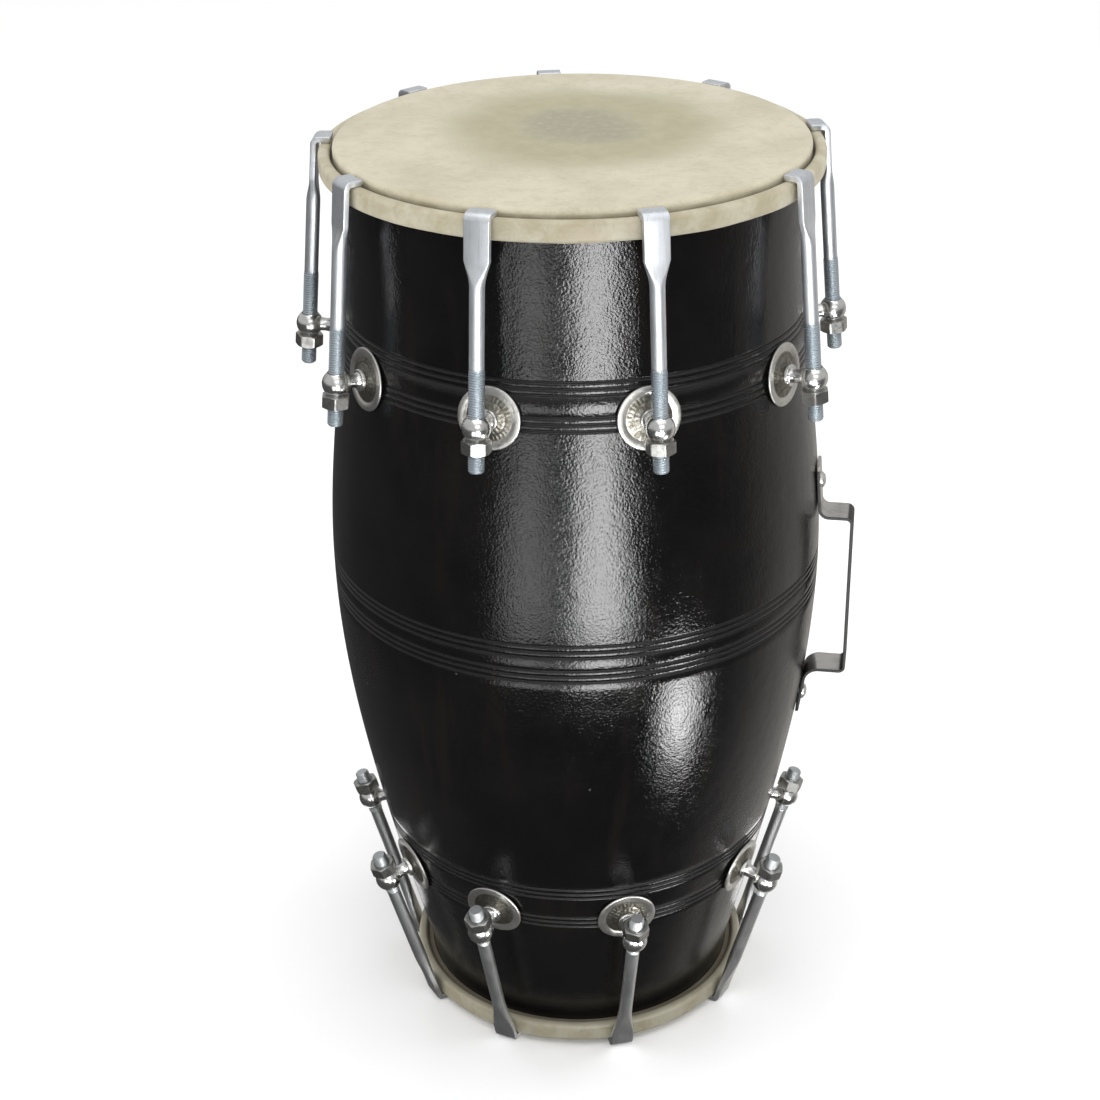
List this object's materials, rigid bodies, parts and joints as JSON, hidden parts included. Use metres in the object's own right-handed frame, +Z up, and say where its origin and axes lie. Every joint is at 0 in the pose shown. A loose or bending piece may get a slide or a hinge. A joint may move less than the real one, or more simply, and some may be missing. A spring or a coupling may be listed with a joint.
{
  "type": "bolt-tuned barrel drum",
  "caption": "Two-headed barrel hand drum with bolt-tuned skins, hooked tension rods on ball-headed eye bolts and a strip carrying handle, standing on its smaller head.",
  "frame": {"origin": "centre of the smaller, lower head's playing surface, on which the drum stands", "axes": "+Z up the barrel's axis to the bass head, +X through the carrying handle"},
  "size_m": [0.2966, 0.2874, 0.5],
  "materials": {
    "shell_paint": "black gloss paint over turned wood",
    "bass_skin": "scraped goat rawhide, waxy",
    "treble_skin": "scraped goat rawhide, waxy",
    "hoop_steel": "plain mild steel flat bar",
    "paste": "dried tuning paste",
    "bass_hook_steel": "zinc plated forged steel",
    "treble_hook_steel": "zinc plated forged steel",
    "eye_chrome": "bright plated steel",
    "nut_zinc": "bright zinc plated steel",
    "rosette_nickel": "pressed nickel plated sheet",
    "inner_zinc": "dull zinc plated steel",
    "handle_chrome": "chromed steel strip"
  },
  "bodies": {
    "drum": {"shell": "shell_paint", "bass_skin": "bass_skin", "bass_hoop": "hoop_steel", "bass_paste": "paste", "treble_skin": "treble_skin", "treble_hoop": "hoop_steel", "bass_eye_bolts": "eye_chrome", "treble_eye_bolts": "eye_chrome", "bass_rosettes": "rosette_nickel", "treble_rosettes": "rosette_nickel", "inner_washers": "inner_zinc", "inner_nuts": "inner_zinc", "handle": "handle_chrome", "handle_screws": "eye_chrome"},
    "bass_hook_1_body": {"bass_hook_1": "bass_hook_steel"},
    "bass_nut_1_body": {"bass_nut_1": "nut_zinc"},
    "bass_hook_2_body": {"bass_hook_2": "bass_hook_steel"},
    "bass_nut_2_body": {"bass_nut_2": "nut_zinc"},
    "bass_hook_3_body": {"bass_hook_3": "bass_hook_steel"},
    "bass_nut_3_body": {"bass_nut_3": "nut_zinc"},
    "bass_hook_4_body": {"bass_hook_4": "bass_hook_steel"},
    "bass_nut_4_body": {"bass_nut_4": "nut_zinc"},
    "bass_hook_5_body": {"bass_hook_5": "bass_hook_steel"},
    "bass_nut_5_body": {"bass_nut_5": "nut_zinc"},
    "bass_hook_6_body": {"bass_hook_6": "bass_hook_steel"},
    "bass_nut_6_body": {"bass_nut_6": "nut_zinc"},
    "bass_hook_7_body": {"bass_hook_7": "bass_hook_steel"},
    "bass_nut_7_body": {"bass_nut_7": "nut_zinc"},
    "bass_hook_8_body": {"bass_hook_8": "bass_hook_steel"},
    "bass_nut_8_body": {"bass_nut_8": "nut_zinc"},
    "bass_hook_9_body": {"bass_hook_9": "bass_hook_steel"},
    "bass_nut_9_body": {"bass_nut_9": "nut_zinc"},
    "treble_hook_1_body": {"treble_hook_1": "treble_hook_steel"},
    "treble_nut_1_body": {"treble_nut_1": "nut_zinc"},
    "treble_hook_2_body": {"treble_hook_2": "treble_hook_steel"},
    "treble_nut_2_body": {"treble_nut_2": "nut_zinc"},
    "treble_hook_3_body": {"treble_hook_3": "treble_hook_steel"},
    "treble_nut_3_body": {"treble_nut_3": "nut_zinc"},
    "treble_hook_4_body": {"treble_hook_4": "treble_hook_steel"},
    "treble_nut_4_body": {"treble_nut_4": "nut_zinc"},
    "treble_hook_5_body": {"treble_hook_5": "treble_hook_steel"},
    "treble_nut_5_body": {"treble_nut_5": "nut_zinc"},
    "treble_hook_6_body": {"treble_hook_6": "treble_hook_steel"},
    "treble_nut_6_body": {"treble_nut_6": "nut_zinc"},
    "treble_hook_7_body": {"treble_hook_7": "treble_hook_steel"},
    "treble_nut_7_body": {"treble_nut_7": "nut_zinc"},
    "treble_hook_8_body": {"treble_hook_8": "treble_hook_steel"},
    "treble_nut_8_body": {"treble_nut_8": "nut_zinc"},
    "treble_hook_9_body": {"treble_hook_9": "treble_hook_steel"},
    "treble_nut_9_body": {"treble_nut_9": "nut_zinc"}
  },
  "joints": [
    {"name": "bass_hook_1_slide", "type": "slide", "parent": "drum", "child": "bass_hook_1_body", "axis": [0.0919, 0.0097, 0.9957], "range_m": [0, 0.005]},
    {"name": "bass_nut_1_turn", "type": "hinge", "parent": "drum", "child": "bass_nut_1_body", "pos_m": [-0.13804, -0.01451, 0.39828], "axis": [-0.0919, -0.0097, -0.9957], "range_deg": [0, 1440]},
    {"name": "bass_hook_2_slide", "type": "slide", "parent": "drum", "child": "bass_hook_2_body", "axis": [0.0686, 0.0618, 0.9957], "range_m": [0, 0.005]},
    {"name": "bass_nut_2_turn", "type": "hinge", "parent": "drum", "child": "bass_nut_2_body", "pos_m": [-0.10315, -0.09288, 0.39828], "axis": [-0.0686, -0.0618, -0.9957], "range_deg": [0, 1440]},
    {"name": "bass_hook_3_slide", "type": "slide", "parent": "drum", "child": "bass_hook_3_body", "axis": [0.016, 0.091, 0.9957], "range_m": [0, 0.005]},
    {"name": "bass_nut_3_turn", "type": "hinge", "parent": "drum", "child": "bass_nut_3_body", "pos_m": [-0.0241, -0.1367, 0.39828], "axis": [-0.016, -0.091, -0.9957], "range_deg": [0, 1440]},
    {"name": "bass_hook_4_slide", "type": "slide", "parent": "drum", "child": "bass_hook_4_body", "axis": [-0.0405, 0.083, 0.9957], "range_m": [0, 0.005]},
    {"name": "bass_nut_4_turn", "type": "hinge", "parent": "drum", "child": "bass_nut_4_body", "pos_m": [0.06085, -0.12476, 0.39828], "axis": [0.0405, -0.083, -0.9957], "range_deg": [0, 1440]},
    {"name": "bass_hook_5_slide", "type": "slide", "parent": "drum", "child": "bass_hook_5_body", "axis": [-0.085, 0.0361, 0.9957], "range_m": [0, 0.005]},
    {"name": "bass_nut_5_turn", "type": "hinge", "parent": "drum", "child": "bass_nut_5_body", "pos_m": [0.12777, -0.05423, 0.39828], "axis": [0.085, -0.0361, -0.9957], "range_deg": [0, 1440]},
    {"name": "bass_hook_6_slide", "type": "slide", "parent": "drum", "child": "bass_hook_6_body", "axis": [-0.0878, -0.0285, 0.9957], "range_m": [0, 0.005]},
    {"name": "bass_nut_6_turn", "type": "hinge", "parent": "drum", "child": "bass_nut_6_body", "pos_m": [0.13201, 0.04289, 0.39828], "axis": [0.0878, 0.0285, -0.9957], "range_deg": [0, 1440]},
    {"name": "bass_hook_7_slide", "type": "slide", "parent": "drum", "child": "bass_hook_7_body", "axis": [-0.0448, -0.0808, 0.9957], "range_m": [0, 0.005]},
    {"name": "bass_nut_7_turn", "type": "hinge", "parent": "drum", "child": "bass_nut_7_body", "pos_m": [0.06729, 0.1214, 0.39828], "axis": [0.0448, 0.0808, -0.9957], "range_deg": [0, 1440]},
    {"name": "bass_hook_8_slide", "type": "slide", "parent": "drum", "child": "bass_hook_8_body", "axis": [0.0239, -0.0892, 0.9957], "range_m": [0, 0.005]},
    {"name": "bass_nut_8_turn", "type": "hinge", "parent": "drum", "child": "bass_nut_8_body", "pos_m": [-0.03592, 0.13407, 0.39828], "axis": [-0.0239, 0.0892, -0.9957], "range_deg": [0, 1440]},
    {"name": "bass_hook_9_slide", "type": "slide", "parent": "drum", "child": "bass_hook_9_body", "axis": [0.0728, -0.0569, 0.9957], "range_m": [0, 0.005]},
    {"name": "bass_nut_9_turn", "type": "hinge", "parent": "drum", "child": "bass_nut_9_body", "pos_m": [-0.10938, 0.08546, 0.39828], "axis": [-0.0728, 0.0569, -0.9957], "range_deg": [0, 1440]},
    {"name": "treble_hook_1_slide", "type": "slide", "parent": "drum", "child": "treble_hook_1_body", "axis": [0.2756, 0.0048, -0.9613], "range_m": [0, 0.005]},
    {"name": "treble_nut_1_turn", "type": "hinge", "parent": "drum", "child": "treble_nut_1_body", "pos_m": [-0.12434, -0.00217, 0.0936], "axis": [-0.2756, -0.0048, 0.9613], "range_deg": [0, 1440]},
    {"name": "treble_hook_2_slide", "type": "slide", "parent": "drum", "child": "treble_hook_2_body", "axis": [0.2111, 0.1772, -0.9613], "range_m": [0, 0.005]},
    {"name": "treble_nut_2_turn", "type": "hinge", "parent": "drum", "child": "treble_nut_2_body", "pos_m": [-0.09527, -0.07994, 0.0936], "axis": [-0.2111, -0.1772, 0.9613], "range_deg": [0, 1440]},
    {"name": "treble_hook_3_slide", "type": "slide", "parent": "drum", "child": "treble_hook_3_body", "axis": [0.076, 0.265, -0.9613], "range_m": [0, 0.005]},
    {"name": "treble_nut_3_turn", "type": "hinge", "parent": "drum", "child": "treble_nut_3_body", "pos_m": [-0.03428, -0.11954, 0.0936], "axis": [-0.076, -0.265, 0.9613], "range_deg": [0, 1440]},
    {"name": "treble_hook_4_slide", "type": "slide", "parent": "drum", "child": "treble_hook_4_body", "axis": [-0.1077, 0.2537, -0.9613], "range_m": [0, 0.005]},
    {"name": "treble_nut_4_turn", "type": "hinge", "parent": "drum", "child": "treble_nut_4_body", "pos_m": [0.04859, -0.11447, 0.0936], "axis": [0.1077, -0.2537, 0.9613], "range_deg": [0, 1440]},
    {"name": "treble_hook_5_slide", "type": "slide", "parent": "drum", "child": "treble_hook_5_body", "axis": [-0.2518, 0.1121, -0.9613], "range_m": [0, 0.005]},
    {"name": "treble_nut_5_turn", "type": "hinge", "parent": "drum", "child": "treble_nut_5_body", "pos_m": [0.11361, -0.05058, 0.0936], "axis": [0.2518, -0.1121, 0.9613], "range_deg": [0, 1440]},
    {"name": "treble_hook_6_slide", "type": "slide", "parent": "drum", "child": "treble_hook_6_body", "axis": [-0.2636, -0.0806, -0.9613], "range_m": [0, 0.005]},
    {"name": "treble_nut_6_turn", "type": "hinge", "parent": "drum", "child": "treble_nut_6_body", "pos_m": [0.11893, 0.03636, 0.0936], "axis": [0.2636, 0.0806, 0.9613], "range_deg": [0, 1440]},
    {"name": "treble_hook_7_slide", "type": "slide", "parent": "drum", "child": "treble_hook_7_body", "axis": [-0.1461, -0.2338, -0.9613], "range_m": [0, 0.005]},
    {"name": "treble_nut_7_turn", "type": "hinge", "parent": "drum", "child": "treble_nut_7_body", "pos_m": [0.0659, 0.10546, 0.0936], "axis": [0.1461, 0.2338, 0.9613], "range_deg": [0, 1440]},
    {"name": "treble_hook_8_slide", "type": "slide", "parent": "drum", "child": "treble_hook_8_body", "axis": [0.0431, -0.2722, -0.9613], "range_m": [0, 0.005]},
    {"name": "treble_nut_8_turn", "type": "hinge", "parent": "drum", "child": "treble_nut_8_body", "pos_m": [-0.01945, 0.12283, 0.0936], "axis": [-0.0431, 0.2722, 0.9613], "range_deg": [0, 1440]},
    {"name": "treble_hook_9_slide", "type": "slide", "parent": "drum", "child": "treble_hook_9_body", "axis": [0.2111, -0.1772, -0.9613], "range_m": [0, 0.005]},
    {"name": "treble_nut_9_turn", "type": "hinge", "parent": "drum", "child": "treble_nut_9_body", "pos_m": [-0.09527, 0.07994, 0.0936], "axis": [-0.2111, 0.1772, 0.9613], "range_deg": [0, 1440]}
  ],
  "couplings": [
    {"joint": "bass_nut_1_turn", "follows": "bass_hook_1_slide", "rad_per_m": 5026.5},
    {"joint": "bass_nut_2_turn", "follows": "bass_hook_2_slide", "rad_per_m": 5026.5},
    {"joint": "bass_nut_3_turn", "follows": "bass_hook_3_slide", "rad_per_m": 5026.5},
    {"joint": "bass_nut_4_turn", "follows": "bass_hook_4_slide", "rad_per_m": 5026.5},
    {"joint": "bass_nut_5_turn", "follows": "bass_hook_5_slide", "rad_per_m": 5026.5},
    {"joint": "bass_nut_6_turn", "follows": "bass_hook_6_slide", "rad_per_m": 5026.5},
    {"joint": "bass_nut_7_turn", "follows": "bass_hook_7_slide", "rad_per_m": 5026.5},
    {"joint": "bass_nut_8_turn", "follows": "bass_hook_8_slide", "rad_per_m": 5026.5},
    {"joint": "bass_nut_9_turn", "follows": "bass_hook_9_slide", "rad_per_m": 5026.5},
    {"joint": "treble_nut_1_turn", "follows": "treble_hook_1_slide", "rad_per_m": 5026.5},
    {"joint": "treble_nut_2_turn", "follows": "treble_hook_2_slide", "rad_per_m": 5026.5},
    {"joint": "treble_nut_3_turn", "follows": "treble_hook_3_slide", "rad_per_m": 5026.5},
    {"joint": "treble_nut_4_turn", "follows": "treble_hook_4_slide", "rad_per_m": 5026.5},
    {"joint": "treble_nut_5_turn", "follows": "treble_hook_5_slide", "rad_per_m": 5026.5},
    {"joint": "treble_nut_6_turn", "follows": "treble_hook_6_slide", "rad_per_m": 5026.5},
    {"joint": "treble_nut_7_turn", "follows": "treble_hook_7_slide", "rad_per_m": 5026.5},
    {"joint": "treble_nut_8_turn", "follows": "treble_hook_8_slide", "rad_per_m": 5026.5},
    {"joint": "treble_nut_9_turn", "follows": "treble_hook_9_slide", "rad_per_m": 5026.5}
  ]
}
